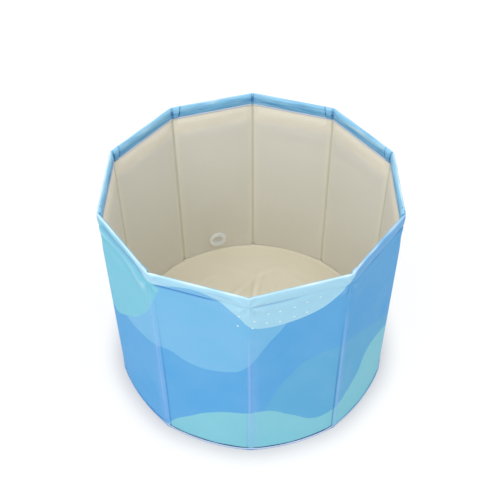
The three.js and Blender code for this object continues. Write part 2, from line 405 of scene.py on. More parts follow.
# The lining's colour: the warm band below the hem, lightened with painted light, and its waver, the painted
# shade low down, and the paler strips beside the seams, a painted highlight
WARM_LIT_BAND = (0.400, 0.424)
WARM_LIT_NOISE = (9.0, 2.0)
WARM_LIT_WAVER = 0.02
LOW_PAINTED_SHADE = (0.30, 0.05, 0.0, 0.3)
SEAM_HIGHLIGHT_STRIP = (0.018, 0.005, 0.0, 0.4)


def lining_pvc():
    """Cream fabric: warmer with painted light below the hem, painted shade low down, painted highlights by
    the seams.
    """
    n = new_material("lining_pvc")
    u, v = wall_place(n)
    cloud = n.math("MULTIPLY", n.noise(n.uv(), *WARM_LIT_NOISE), WARM_LIT_WAVER)
    color = n.mix(n.ramp(n.math("ADD", v, cloud), *WARM_LIT_BAND), CREAM, CREAM_WARM_AND_LIT)
    color = n.mix(n.ramp(v, *LOW_PAINTED_SHADE), color, CREAM_PAINTED_SHADE)
    color = n.mix(n.ramp(n.math("PINGPONG", u, CHORD / 2), *SEAM_HIGHLIGHT_STRIP), color, CREAM_HIGHLIGHT)
    return coated(n, color, CREAM_LIGHT, CREAM_DARK, *LINING_SHEEN)


def plain_pvc(name, base, light, dark, low, high):
    """Coated fabric in one colour."""
    return coated(new_material(name), base, light, dark, low, high)


def moulded(name, base, tint, smooth, rough):
    n = new_material(name)
    place = n.object_place()
    color = n.mix(n.patches(place, *MOULDED_CLOUDS), base, tint)
    normal = n.bump(n.noise(place, *MOULDED_NOISE), *MOULDED_BUMP)
    return n.finish(color, n.patches(place, *MOULDED_PATCHES, smooth, rough), normal)


# The finishes. A plain one has its colour, a lighter and a darker colour for its clouds and grain and for the
# painted light and shade from its mesh, and the least and most roughness
MATERIALS = {
    "print": printed_pvc(),
    "hem": hem_pvc(),
    "rib": weld_pvc(),
    "lining": lining_pvc(),
    "seam": plain_pvc("seam_pvc", SEAM_GREEN, CREAM, SEAM_DARK, 0.42, 0.54),
    "floor": plain_pvc("floor_pvc", FLOOR_CREAM, CREAM_LIGHT, FLOOR_DARK, *LINING_SHEEN),
    "edge": plain_pvc("edging_pvc", EDGE_LILAC, srgb(228, 234, 248), srgb(160, 178, 220), 0.36, 0.46),
    "base": plain_pvc("base_pvc", srgb(84, 148, 208), srgb(120, 176, 224), srgb(60, 116, 178), 0.45, 0.6),
    "welt": plain_pvc("welt_pvc", WELT_BLUE, srgb(206, 220, 246), srgb(140, 166, 216), 0.34, 0.44),
    "piping": plain_pvc("piping_pvc", NAVY_AND_SHADOW, srgb(78, 122, 178), srgb(28, 60, 110), 0.34, 0.46),
    "side piping": plain_pvc("side_piping_pvc", srgb(58, 124, 184), srgb(96, 156, 208), srgb(40, 92, 150),
                             0.34, 0.46),
    "board": moulded("board_plastic", srgb(214, 214, 208), srgb(200, 200, 194), 0.55, 0.68),
    "plastic": moulded("drain_plastic", WHITE_PLASTIC, srgb(214, 219, 222), 0.33, 0.46),
    "nut": moulded("drain_nut_plastic", srgb(240, 243, 244), srgb(232, 236, 238), 0.29, 0.42),
    "rubber": moulded("drain_rubber", srgb(150, 157, 162), srgb(132, 139, 144), 0.65, 0.78),
}


# Shaping helpers
def rise(value, start, length, height=1.0):
    """0 up to start and height from start + length on, eased. A length below 0 goes the other way."""
    t = min(1.0, max(0.0, (value - start) / length))
    return height * t * t * (3 - 2 * t)


def within(value, rises):
    return math.prod(rise(value, *part) for part in rises)


def mark(value, middle, width, strength=1.0):
    """A soft mark round middle."""
    return strength * math.exp(-((value - middle) / width) ** 2)


def marks(value, places):
    return sum(mark(value, *place) for place in places)


def between(ends, share):
    return ends[0] + (ends[1] - ends[0]) * share


def circle(steps):
    """Even angles once round."""
    return [2 * math.pi * i / steps for i in range(steps)]


def direction(angle):
    return Vector((math.cos(angle), math.sin(angle), 0))


# Places round the wall
CORNER_ROUND = 0.011


def corner_angle(k):
    return k * TURN - math.pi / 2


def panel_angle(k):
    return corner_angle(k) + HALF_TURN


def body(k):
    k %= SIDES
    return "front_wall_and_floor" if k == 0 else f"wall_{k + 1}"


def round_start(k):
    """The distance round the wall, from the front corner, at which panel k starts."""
    return (k if k < SIDES / 2 else k - SIDES) * CHORD


def wall_uv(k, x, z):
    return round_start(k) + HALF_CHORD + x, z


def edge_distance(x):
    return HALF_CHORD - abs(x)


def corner_number(k, x):
    """The number of the corner at the end of panel k that x lies nearest to."""
    return (k if x < 0 else k + 1) % SIDES


def low_share(z):
    return max(0.0, 1 - z / BOW_HEIGHT) ** 2


def bow(x, z):
    return BOW * max(0.0, 1 - (x / BOW_HALF_WIDTH) ** 2) * low_share(z)


def skin_bow(x, z):
    """The bow of the outer skin: it starts at the fold lines, so that the tub's foot is round."""
    return SKIN_BOW * (1 - (x / HALF_CHORD) ** 2) * low_share(z)


def panel_point(k, x, offset, z):
    """A point of panel k, x along it from its centre and offset outwards from its middle surface. Near a
    corner the offset turns towards the corner's bisector, so that two panels meet without a gap."""
    out = direction(panel_angle(k))
    along = direction(panel_angle(k) + math.pi / 2)
    lean = math.copysign(HALF_TURN * max(0.0, 1 - edge_distance(x) / CORNER_ROUND), x)
    leaning = direction(panel_angle(k) + lean)
    return out * APOTHEM + along * x + leaning * offset + Vector((0, 0, z))


def corner_drop(d):
    """How far the fabric that turns round a corner lies inside the panel's own plane."""
    return math.sin(HALF_TURN) * max(0.0, CORNER_ROUND - d) ** 2 / (2 * CORNER_ROUND)


# Uneven waves: the size of each kind along a panel and up it, and a seed that makes its waves its own
RIPPLES = {"skin": (0.06, 0.06, 1.0), "fine skin": (0.02, 0.05, 2.0), "lining": (0.07, 0.07, 4.0),
           "fine lining": (0.025, 0.0625, 5.0), "hem": (0.034, 0.034 / 0.6, 8.0),
           "fine hem": (0.008 / 0.3, 0.008, 9.0), "hem shadow": (0.05, 0.05, 11.0), "rim": (0.04, 0.04, 12.0),
           "streaks": (0.006 / 0.14, 0.006, 13.0), "fold swing": (0.07, 0.07, 15.0),
           "fold depth": (0.05, 0.05, 16.0)}
PANEL_SHIFT = 7.3
SEED_SHIFT = 1.7


def ripple(kind, k, x, z=0.0):
    along, up, seed = RIPPLES[kind]
    return noise.noise(Vector((x / along + PANEL_SHIFT * k + seed, z / up, seed * SEED_SHIFT)))


def spread(start, end, steps):
    """Even places after start, up to end."""
    return [between((start, end), i / steps) for i in range(1, steps + 1)]


def stations(*distances):
    """Places along a panel, closer together near both its corners, from distances in millimetres."""
    left = [-HALF_CHORD + d / 1000 for d in distances]
    return left + [0.0] + [-x for x in reversed(left)]


PANEL_X = stations(0, 1.2, 2.6, 3.8, 5, 6.4, 7.8, 9.2, 10.6, 12, 14, 17, 22, 29, 38, 48, 59, 70, 81)
WALL_Z = [WALL_FOOT, 0.0045, 0.007, 0.011, 0.016, 0.023] + spread(0.023, CREASE, 40)

# Mesh helpers
SHARP_ANGLE = math.radians(38)
SHEET_THICKNESS = 0.0004


def make_object(name, vertices, faces, uvs, material, painted_shading_and_tone=None, violet_tint_and_highlight=None):
    mesh = bpy.data.meshes.new(name)
    mesh.from_pydata([tuple(v) for v in vertices], [], faces)
    layer = mesh.uv_layers.new(name="wall")
    index = np.zeros(len(mesh.loops), dtype=np.int32)
    mesh.loops.foreach_get("vertex_index", index)
    layer.data.foreach_set("uv", np.asarray(uvs, np.float32)[index].ravel())
    for key, values in (("painted_shading_and_tone", painted_shading_and_tone), ("violet_tint_and_highlight", violet_tint_and_highlight)):
        made = mesh.attributes.new(key, "FLOAT", "POINT")
        if values is not None:
            made.data.foreach_set("value", np.asarray(values, np.float32).ravel())
    mesh.polygons.foreach_set("use_smooth", [True] * len(mesh.polygons))
    mesh.set_sharp_from_angle(angle=SHARP_ANGLE)
    mesh.materials.append(MATERIALS[material])
    made = bpy.data.objects.new(name, mesh)
    bpy.context.scene.collection.objects.link(made)
    return made


def face_outwards(piece):
    made = bmesh.new()
    made.from_mesh(piece.data)
    bmesh.ops.recalc_face_normals(made, faces=made.faces)
    made.to_mesh(piece.data)
    made.free()
    piece.data.set_sharp_from_angle(angle=SHARP_ANGLE)
    return piece


def ring_faces(rings):
    """The faces between rings of vertex numbers. A pole is a ring that repeats one number."""
    faces = []
    for ring, other in zip(rings, rings[1:]):
        for i in range(len(ring)):
            j = (i + 1) % len(ring)
            corners = list(dict.fromkeys([ring[i], ring[j], other[j], other[i]]))
            if len(corners) > 2:
                faces.append(corners)
    return faces


def tube_faces(count, size):
    """The faces of a tube with closed ends, made of rings of size points, one after the other."""
    rings = [list(range(j * size, (j + 1) * size)) for j in range(count)]
    return ring_faces(rings) + [rings[0][::-1], rings[-1]]


def turned(profile, steps, point):
    """The vertices and faces of a closed turned piece. Its profile gives radii, 0 for a pole, and places."""
    vertices, rings = [], []
    for radius, along in profile:
        rings.append([len(vertices) + (i if radius else 0) for i in range(steps)])
        vertices += [point(radius, around, along) for around in circle(steps if radius else 1)]
    return vertices, ring_faces(rings + rings[:1])


def make_sheet(name, rows, columns, front, back, uv, material, painted_shading_and_tone=None, violet_tint_and_highlight=None, pole=False):
    """A closed sheet between two surfaces, which are functions of row and column, as its looks are. Seen from
    the front, rows go up and columns go right. A pole draws the foot of the first row together in a point."""
    places = [(row, column) for row in rows for column in columns] + [(0.0, 0.0)] * pole
    size = len(places)
    i = np.arange(len(rows) * len(columns)).reshape(len(rows), len(columns))
    faces = np.stack([i[:-1, :-1], i[:-1, 1:], i[1:, 1:], i[1:, :-1]], -1).reshape(-1, 4).tolist()
    foot = list(i[0, 1:-1])
    if pole:
        foot = [size - 1]
        faces += [[size - 1, q, p] for p, q in zip(i[0], i[0, 1:])]
    faces += [[v + size for v in face[:1] + face[:0:-1]] for face in faces]
    edge = list(i[::-1, 0]) + foot + list(i[:, -1]) + list(i[-1, -2:0:-1])
    faces += [[p, p + size, q + size, q] for p, q in zip(edge, edge[1:] + edge[:1])]
    vertices = [surface(*place) for surface in (front, back) for place in places]
    looks = [[look(*place) for place in places] * 2 if look else None for look in (uv, painted_shading_and_tone, violet_tint_and_highlight)]
    return make_object(name, vertices, faces, looks[0], material, *looks[1:])


def wall_sheet(name, k, rows, columns, offset, thickness, material, *looks):
    """A closed sheet on panel k. Its offset, painted shading and tone, and violet tint are functions of panel
    and place.
    """
    def surface(extra):
        return lambda z, x: panel_point(k, x, offset(k, x, z) + extra, z)

    looks = [lambda z, x, look=look: look(k, x, z) for look in looks]
    return make_sheet(name, rows, columns, surface(0), surface(thickness), lambda z, x: wall_uv(k, x, z),
                      material, *looks)


def place_piece(piece, k, slot, *nodes):
    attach(piece, body(k))
    if nodes:
        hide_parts(*nodes)
    return piece


# The folds that fan out of the top of each fold line, where the hem pulls the skin together
PUCKER_HEIGHT = 0.446
PUCKER = (0.016, 0.016, -0.0011)
PUCKER_RAYS = 6.0
PUCKER_TURN = 2.3


def pucker(k, x, z):
    d = edge_distance(x)
    up = z - PUCKER_HEIGHT
    fan = math.cos(PUCKER_RAYS * math.atan2(up, d) + PUCKER_TURN * corner_number(k, x))
    return fan * mark(math.hypot(d, up), *PUCKER)


# Outer skins: the tops of the welds on the fold lines, how they fade out there, and the ridge over each
WELD_TOPS = [0.333, 0.358, 0.395, 0.370, 0.350, 0.385, 0.365, 0.340, 0.390, 0.408]
WELD_FADE = (0.03, -0.05)
RIDGE = (0.0, 0.0048, 0.0012)

# The groove beside a fold line's ridge: its side, its distance from the fold line and how dark its painted
# shade is
GROOVES = {9: (1, 0.0092, 0.50), 0: (-1, 0.0050, 0.22), 1: (-1, 0.0052, 0.62)}
PLAIN_GROOVE = (1, 0.0080, 0.20)
GROOVE_WIDTH = 0.0020
GROOVE_DEPTH = 0.0006
GROOVE_FADE = (0.15, 0.25, 0.65)

# The lighter violet bands beside a fold line, partly the fabric's own colour and partly painted highlight:
# place to its right, half width and strength
BANDS = {9: ((-0.006, 0.008, 0.16), (0.0046, 0.0018, 0.38)), 0: ((0.007, 0.009, 0.20), (-0.003, 0.004, 0.10)),
         1: ((0.0046, 0.0022, 0.30), (0.003, 0.009, 0.10))}
PLAIN_BANDS = ((0.0, 0.008, 0.12),)
BAND_FADE = (0.21, 0.15, 0.5)

# The soft folds below the hem: depth on each panel, length down, number at its left and right end, and swing
DRAPES = {8: 0.0030, 9: 0.0008, 0: 0.0007, 1: 0.0006}
PLAIN_DRAPE = 0.0009
DRAPE_LENGTH = 0.055
DRAPE_REACH = ((0.0, 0.2), (1.25, -0.9))
DRAPE_ENDS = (0.0, 0.012)
DRAPE_FOLDS = (1.75, 0.75)
DRAPE_SWING = 1.1
DRAPE_WAVE = 40

# The skin's stretch over the board's pocket, its own waves, and its tuck under the hem
SKIN_SEAT = FLAT_OFFSET - 0.0003
POCKET = (0.010, 0.005, 0.0006)
WAVE_ENDS = (0.0, 0.02)
SKIN_WAVE_TOP = (CREASE, -0.02, 0.0009)
TUCK = (CREASE - 0.006, 0.006, 0.0009)

# Painted shadow on the print just below the hem: on the left front panel as one streak, elsewhere uneven
LEFT_FRONT = 9
LEFT_FRONT_SHADOW = ((0.004 - HALF_CHORD, 0.012, 0.95), (0.055, -0.045))
HEM_SHADOWS = {0: 0.55, 1: 0.80}
PLAIN_SHADOW = 0.30
SHADOW_UNEVEN = 1.2
SHADOW_WIDTH = 0.0055
# Painted shading of the puckers and soft folds below the hem, lighter on their ridges and darker in their
# hollows: how strong, where it starts at the corners, and the band below the hem that it darkens evenly
FOLD_PAINTED_SHADING = 150
FOLD_SHADING_ENDS = (0.0, 0.002)
FOLD_SHADING_LEVEL = ((CREASE, -0.012, 0.4), (CREASE - 0.07, 0.05))


def weld_share(k, x, z):
    """1 low on the fold line next to x, and 0 above the top of its weld."""
    return rise(z - WELD_TOPS[corner_number(k, x)], *WELD_FADE)


def groove(k, x, z):
    """1 in the middle of the groove beside the nearest fold line, and how dark its painted shade is."""
    side, place, dark = GROOVES.get(corner_number(k, x), PLAIN_GROOVE)
    if (x < 0) != (side > 0):
        return 0.0, 0.0
    depth = mark(edge_distance(x), place, GROOVE_WIDTH, weld_share(k, x, z))
    return depth, dark * (1 - rise(z, *GROOVE_FADE))


def skin_violet_tint_and_highlight(k, x, z):
    """How far the print turns lighter violet by the nearest fold line: partly its colour, partly painted
    highlight.
    """
    tint = marks(math.copysign(edge_distance(x), -x), BANDS.get(corner_number(k, x), PLAIN_BANDS))
    return tint * weld_share(k, x, z) * (1 - rise(z, *BAND_FADE))


def drape(k, x, z):
    """Soft folds that run along the hem and draw together towards the panel's right end."""
    down = (CREASE - z) / DRAPE_LENGTH
    turns = down * between(DRAPE_FOLDS, 0.5 + x / CHORD)
    swing = math.sin(2 * math.pi * turns + DRAPE_SWING * math.sin(DRAPE_WAVE * x + k))
    reach = within(down, DRAPE_REACH) * rise(edge_distance(x), *DRAPE_ENDS)
    return DRAPES.get(k, PLAIN_DRAPE) * reach * (0.5 + 0.5 * swing)


def skin_offset(k, x, z):
    d = edge_distance(x)
    ridge = mark(d, *RIDGE) * weld_share(k, x, z) - GROOVE_DEPTH * groove(k, x, z)[0]
    waves = ripple("skin", k, x, z) + 0.5 * ripple("fine skin", k, x, z)
    waves *= rise(d, *WAVE_ENDS) * rise(z, *SKIN_WAVE_TOP)
    folds = pucker(k, x, z) + drape(k, x, z) + skin_bow(x, z)
    return SKIN_SEAT - corner_drop(d) + rise(d, *POCKET) + ridge + waves - rise(z, *TUCK) + folds


# Painted shading of the outer skin: painted shade in the grooves, a painted shadow below the hem, and painted
# light and shade on its puckers and folds
def skin_painted_shading(k, x, z):
    depth, dark = groove(k, x, z)
    if k == LEFT_FRONT:
        shadow = within(x, LEFT_FRONT_SHADOW)
    else:
        uneven = 0.5 + SHADOW_UNEVEN * ripple("hem shadow", k, x)
        shadow = HEM_SHADOWS.get(k, PLAIN_SHADOW) * min(1.0, max(0.0, uneven))
    level = DRAPES.get(k, PLAIN_DRAPE) * within(z, FOLD_SHADING_LEVEL)
    folds = pucker(k, x, z) * rise(edge_distance(x), *FOLD_SHADING_ENDS) + drape(k, x, z) - level
    return FOLD_PAINTED_SHADING * folds - dark * depth - mark(z, CREASE, SHADOW_WIDTH, shadow)


SKIN_Z = WALL_Z[:-9] + [0.360, 0.368, 0.376, 0.384, 0.391, 0.398, 0.404, 0.410, 0.415, 0.420, 0.424, 0.428,
                        0.432, 0.435, 0.438, 0.441, 0.444, 0.4465, CREASE]


def make_skin(k):
    skin = wall_sheet(f"printed_skin_{k + 1}", k, SKIN_Z, PANEL_X, skin_offset, -SHEET_THICKNESS, "print",
                      skin_painted_shading, skin_violet_tint_and_highlight)
    place_piece(skin, k, "printed_pvc", f"outer_skin_{k + 1}")


# Linings: the folds below the hem, the pocket of the board, and the band where the hem is welded on
LINING_TOP = 0.4630
LINING_Z = WALL_Z[:-4] + [0.408, 0.416, 0.424, 0.432, 0.440, 0.448, 0.458, LINING_TOP]
LINING_SEAT = 0.0011
LINING_POCKET = (0.002, 0.011, 0.0013)
LINING_BAND = (0.404, 0.008, 0.0005)
LINING_BAND_ENDS = (0.008, 0.006)
LINING_WAVE_TOP = (0.445, -0.03, 0.0006)
FOLD_TOP = 0.441
FOLD_LENGTH = 0.060
FOLD_REACH = ((0.0, 0.15, 0.0011), (1.2, -0.75))
FOLD_ENDS = (0.006, 0.02)
FOLD_COUNT = 1.3
FOLD_SWING = 1.4
FOLD_DEPTHS = (0.6, 1.4)
SLACK = 0.0012
SLACK_REACH = ((0.442, -0.01, 0.8), (0.36, 0.02))
# Painted shading of the lining's folds below the hem, and beside each seam a painted shade line and then a
# painted highlight: place, width and strength
LINING_FOLD_SHADING = 60
SEAM_SHADE_AND_HIGHLIGHT = ((0.0044, 0.0014, -0.14), (0.0085, 0.0035, 0.18))


def lining_fold(k, x, z):
    """Soft folds below the hem, uneven along the panel: above 0 on a fold and below 0 in a hollow."""
    down = (FOLD_TOP - z) / FOLD_LENGTH
    swing = math.sin(2 * math.pi * down * FOLD_COUNT + FOLD_SWING * ripple("fold swing", k, x))
    depth = between(FOLD_DEPTHS, abs(ripple("fold depth", k, x)))
    return within(down, FOLD_REACH) * rise(edge_distance(x), *FOLD_ENDS) * depth * swing


def lining_offset(k, x, z):
    d = edge_distance(x)
    seat = LINING_SEAT + rise(d, *LINING_POCKET) + rise(z, *LINING_BAND) * rise(d, *LINING_BAND_ENDS)
    waves = 1 + ripple("lining", k, x, z) + 0.5 * ripple("fine lining", k, x, z)
    slack = (SLACK + lining_fold(k, x, z)) * within(z, SLACK_REACH)
    return bow(x, z) - seat - (waves * rise(z, *LINING_WAVE_TOP) + slack) * rise(d, *WAVE_ENDS)


# Painted shade and highlight beside the seams, and painted light and shade on the folds below the hem
def lining_painted_shading(k, x, z):
    return marks(edge_distance(x), SEAM_SHADE_AND_HIGHLIGHT) + LINING_FOLD_SHADING * lining_fold(k, x, z)


def make_lining(k):
    lining = wall_sheet(f"cream_lining_{k + 1}", k, LINING_Z, [-x for x in PANEL_X], lining_offset,
                        SHEET_THICKNESS, "lining", lining_painted_shading)
    place_piece(lining, k, "cream_pvc", f"lining_{k + 1}")


# The cream seams that close the lining's corners. Places across them are shares of the half width
SEAM_SHARES = [0.0, 0.1, 0.25, 0.45, 0.65, 0.85, 1.0]
SEAM_HALF_WIDTH = 0.0032
SEAM_Z = [0.004] + spread(0.004, 0.4465, 30)
SEAM_EDGE = 0.0011
SEAM_RISE = 0.0006
SEAM_BACK = 0.0009
# How much darker along its middle, and paler towards its edges, the seam is
SEAM_GRADIENT = (-0.12, 0.43)


def make_seam_half(k, side):
    """The half of a corner seam that lies on panel k, at its end on side -1 or 1."""
    def point(z, share, deep):
        return panel_point(k, side * (HALF_CHORD - share * SEAM_HALF_WIDTH), -deep, z)

    def face(z, share):
        return point(z, share, SEAM_EDGE + SEAM_RISE * math.sqrt(max(0.0, 1 - share * share)))

    name = f"inner_seam_{k + 1}_{'right' if side > 0 else 'left'}"
    seam = make_sheet(name, SEAM_Z, SEAM_SHARES[::side], face, lambda z, share: point(z, share, SEAM_BACK),
                      lambda z, share: (share * SEAM_HALF_WIDTH, z), "seam",
                      lambda z, share: between(SEAM_GRADIENT, share))
    place_piece(seam, k, "cream_pvc")


# Round pieces along a fold line, which fill the corner as the walls fold: radius and height, in millimetres
CORE_PROFILE = [(0.0, 4.2), (0.6, 4.2), (0.7, 4.5), (0.7, 446.2), (0.6, 446.5), (0.0, 446.5)]
CORE_OFFSET = -0.0009
BEND_PROFILE = [(0.0, 446.8), (1.8, 446.8), (2.4, 447.4), (2.6, 448.5), (2.6, 464.5), (2.4, 466.6),
                (1.9, 468.2), (1.1, 469.1), (0.0, 469.4)]
BEND_OFFSET = -0.0007
BEND_STEPS = 24


def make_core(name, k, profile, offset, material, slot):
    """A round piece on fold line k, offset outwards from it."""
    axis = direction(corner_angle(k)) * (FOLD_RADIUS + offset)

    def point(radius, around, z):
        return axis + (direction(around) * radius + Vector((0, 0, z))) / 1000

    vertices, faces = turned(profile, BEND_STEPS, point)
    core = make_object(name, vertices, faces, [(round_start(k), v.z) for v in vertices], material)
    place_piece(face_outwards(core), k, slot)


# Rim hems: the section from the crease outside, over the rim, to the edging inside, in millimetres
HEM_PATH = [(2.3, 446.4), (2.8, 447.6), (3.1, 449.6), (3.3, 452.5), (3.4, 456.5), (3.4, 461.0), (3.1, 464.8),
            (2.5, 467.6), (1.5, 469.4), (0.1, 470.0), (-1.3, 469.6), (-2.5, 468.3), (-3.5, 466.2),
            (-4.1, 463.2), (-4.4, 459.8), (-4.5, 456.2), (-4.4, 452.8), (-4.2, 449.6), (-4.0, 447.2),
            (-3.8, 445.2), (-3.7, 444.0)]
HEM_OUT, HEM_UP = zip(*HEM_PATH)
HEM_TOP = 9
HEM_LENGTHS = [0.0]
for (o0, z0), (o1, z1) in zip(HEM_PATH, HEM_PATH[1:]):
    HEM_LENGTHS.append(HEM_LENGTHS[-1] + math.hypot(o1 - o0, z1 - z0))
HEM_TOP_SHARE = HEM_LENGTHS[HEM_TOP] / HEM_LENGTHS[-1]
HEM_THICKNESS = 0.0005
HEM_S = [i / 60 for i in range(61)]
HEM_X = stations(0, 1, 2, 3, 4, 5.2, 6.6, 8, 9.4, 10.8, 12, 13, 14, 14.8, 15.4, 16.0, 16.6, 17.2, 18, 19,
                 20.5, 22.5, 25, 28, 32, 37, 43, 50, 58, 67, 78)

# The tab at each corner, folded over the panel that lies further back, and the creases beside it
TAB_MARGIN = 0.01
TAB_LEAN = 0.20
TAB_LEVEL = 0.455
TAB_REACH = ((0.0, 0.002), (0.0163, -0.0008))
TAB_RISE = (HEIGHT, -0.003, 0.0012)
TAB_LIFT = 0.0006
TAB_CREASE = (0.0169, 0.0014)
TAB_CORNER = (0.0015, 0.0018, 0.8)
PLAIN_CORNER = (0.0015, 0.0020, 0.7)
CREASE_DEPTH = 0.0006

# The hem's softness outside and inside, where it starts, and how it is drawn in at the corners
HEM_SOFT = {1: 0.0007, -1: 0.0012}
HEM_SOFT_ENDS = (0.0, 0.01)
HEM_BELOW_TOP = (HEIGHT, -0.006)
HEM_ABOVE_FOOT = (0.4445, 0.006)
HEM_PUCKER = 0.7
HEM_CORNER_DRAW = (0.0, 0.003, 0.0006)
HEM_CORNER_DROP = 0.6
HEM_CORNER_DIP = (0.0, 0.004, 0.0005)
HEM_ROLL = (0.464, 0.005)

# The hem's painted marks: place up its folded width, width and strength. The first, a painted highlight along
# the rim's top, is placed from the top of the rim; the others are painted shade low down inside and at its
# lower edge
HEM_TOP_HIGHLIGHT = (-0.02, 0.042, 0.75)
HEM_HIGHLIGHT_LEVELS = (0.75, 1.25)
HEM_LOW_SHADE = ((0.80, 0.07, -0.30), (1.0, 0.03, -0.7))
# Strengths of its streaks, and of those outside, of the painted shading of its puckers, of the painted
# highlight on its tabs, of how far the tabs cut the streaks, and of the painted shade in its creases
STREAK_STRENGTH = 0.5
OUTSIDE_STREAKS = 0.56
HEM_PUCKER_SHADING = 80
TAB_HIGHLIGHT = 0.06
TAB_STREAKS = 0.7
CREASE_SHADE = 0.75

# Painted shade on the lower half of the rolled rim outside: how dark, on the panels where it shows, and where
# it is so
HEM_UNDERSIDE_SHADE = {8: 0.46, 9: 0.16, 1: 0.12}
UNDERSIDE_REACH = ((HEM_TOP_SHARE - 0.14, -0.06), (0.03, 0.06))
UNDERSIDE_ENDS = (0.0, 0.03)

# Painted highlight in the middle of the hem inside: how pale, on the panels where it catches the light, and
# where it is so
HEM_PAINTED_HIGHLIGHT = {3: 0.55, 6: 0.30}
HIGHLIGHT_UP = (0.68, 0.10)
HIGHLIGHT_ALONG = (0.0, 0.06)


def tab_side(k, x):
    """Whether panel k lies further back than the one beyond its end next to x."""
    beyond = panel_angle(k + (1 if x > 0 else -1))
    return math.sin(panel_angle(k)) > math.sin(beyond) + TAB_MARGIN


def tab(k, x, z):
    """How far the corner's tab stands proud, and its crease's depth, at this place of the hem."""
    d = edge_distance(x)
    if not tab_side(k, x):
        return 0.0, mark(d, *PLAIN_CORNER)
    away = d - TAB_LEAN * (z - TAB_LEVEL)
    return within(away, TAB_REACH), mark(away, *TAB_CREASE) + mark(d, *TAB_CORNER)


def hem_point(k, x, s, inwards=0.0):
    """A point on the hem: s from 0 at the crease outside, over the rim, to 1 at the lower edge inside."""
    length = s * HEM_LENGTHS[-1]
    offset, z = (float(np.interp(length, HEM_LENGTHS, part)) / 1000 for part in (HEM_OUT, HEM_UP))
    d = edge_distance(x)
    side = 1 if s < HEM_TOP_SHARE else -1
    low = rise(z, *HEM_BELOW_TOP)
    calm = rise(z, *HEM_ABOVE_FOOT)
    raised, crease = tab(k, x, z) if side < 0 else (0.0, 0.0)
    soft = 0.5 + ripple("hem", k, x, z) + 0.5 * ripple("fine hem", k, x, z)
    soft *= HEM_SOFT[side] * rise(d, *HEM_SOFT_ENDS) * calm
    drawn = mark(d, *HEM_CORNER_DRAW) + CREASE_DEPTH * crease * calm
    offset += side * (raised * rise(z, *TAB_RISE) + (soft - drawn) * low)
    if side > 0:
        offset += (HEM_PUCKER * pucker(k, x, z) - HEM_CORNER_DROP * corner_drop(d)) * low
    z += TAB_LIFT * raised * (1 - low) - mark(d, *HEM_CORNER_DIP)
    return panel_point(k, x, offset - side * inwards, z - inwards * rise(z, *HEM_ROLL))


# Painted light and shade on the hem: a highlight along the rim's top, shading of the puckers, shade under the
# roll outside and low down inside, highlights where it catches the light and on the tabs, shade in the
# creases; and streaks
def hem_painted_shading_and_streaks(k, x, s):
    z = hem_point(k, x, s).z
    top = mark(s - HEM_TOP_SHARE, *HEM_TOP_HIGHLIGHT) * between(HEM_HIGHLIGHT_LEVELS, ripple("rim", k, x))
    streaks = STREAK_STRENGTH * ripple("streaks", k, x, z)
    if s < HEM_TOP_SHARE:
        under = HEM_UNDERSIDE_SHADE.get(k, 0.0) * within(s, UNDERSIDE_REACH)
        under *= rise(edge_distance(x), *UNDERSIDE_ENDS)
        return top + HEM_PUCKER_SHADING * pucker(k, x, z) + OUTSIDE_STREAKS * streaks - under
    raised, crease = tab(k, x, z)
    low = marks(s, HEM_LOW_SHADE) + HEM_PAINTED_HIGHLIGHT.get(k, 0.0) * mark(s, *HIGHLIGHT_UP) * mark(x, *HIGHLIGHT_ALONG)
    return top + low + streaks * (1 - TAB_STREAKS * raised) + TAB_HIGHLIGHT * raised - CREASE_SHADE * crease


def make_hem(k):
    height = 0.001 * HEM_LENGTHS[-1]
    start = HEIGHT - HEM_TOP_SHARE * height
    hem = make_sheet(f"hem_{k + 1}", HEM_S, HEM_X, lambda s, x: hem_point(k, x, s),
                     lambda s, x: hem_point(k, x, s, HEM_THICKNESS),
                     lambda s, x: wall_uv(k, x, start + s * height), "hem", lambda s, x: hem_painted_shading_and_streaks(k, x, s))
    place_piece(hem, k, "hem_pvc", f"rim_hem_{k + 1}")


# Bars along a wall: the lilac edging that ends each hem inside, and the foot's flange and piping. Sections
# give offset and height in millimetres, and the flange's edge is given from its reach
EDGING_SECTION = [(-3.0, 444.7), (-3.9, 444.7), (-4.4, 444.3), (-4.6, 443.4), (-4.6, 442.3), (-4.4, 441.2),
                  (-4.0, 440.6), (-3.5, 440.4), (-3.0, 440.5)]
BAR_DISTANCES = (4, 7, 11, 16, 22, 30, 38, 46, 54, 62, 70, 78, 86)
EDGING_X = stations(2.2, *BAR_DISTANCES)
FOOT_X = stations(0, 2, *BAR_DISTANCES)
FLANGE_REACH = {9: 5.4, 0: 5.4}
PLAIN_REACH = 4.2
FLANGE_FOOT = [(-2.0, 1.5)]
FLANGE_TOP = [(2.4, 3.3), (-2.0, 2.8)]
FLANGE_EDGE = [(-1.0, 1.5), (-0.2, 1.8), (0.0, 2.3), (-0.3, 2.9), (-1.2, 3.2)]
PIPING_CENTRE = (2.7, 4.3)
PIPING_RADII = (1.0, 1.1)
PIPING_STEPS = 12
FOOT_DRAW = 0.0018
DRAW_WIDTH = 0.012
SECTION_UV = 0.003


def sweep(name, k, section, material, corner_draw, columns):
    """A bar along wall k: section is its closed outline, counter-clockwise, and corner_draw is how far it is
    drawn in at the corners."""
    vertices, uvs = [], []
    for x in columns:
        drawn = mark(edge_distance(x), 0.0, DRAW_WIDTH, corner_draw)
        for i, (offset, z) in enumerate(section):
            vertices.append(panel_point(k, x, offset / 1000 + skin_bow(x, z / 1000) - drawn, z / 1000))
            uvs.append(wall_uv(k, x, SECTION_UV * i))
    return make_object(name, vertices, tube_faces(len(columns), len(section)), uvs, material)


def make_edging(k):
    place_piece(sweep(f"hem_edging_{k + 1}", k, EDGING_SECTION, "edge", 0.0, EDGING_X), k, "hem_pvc")


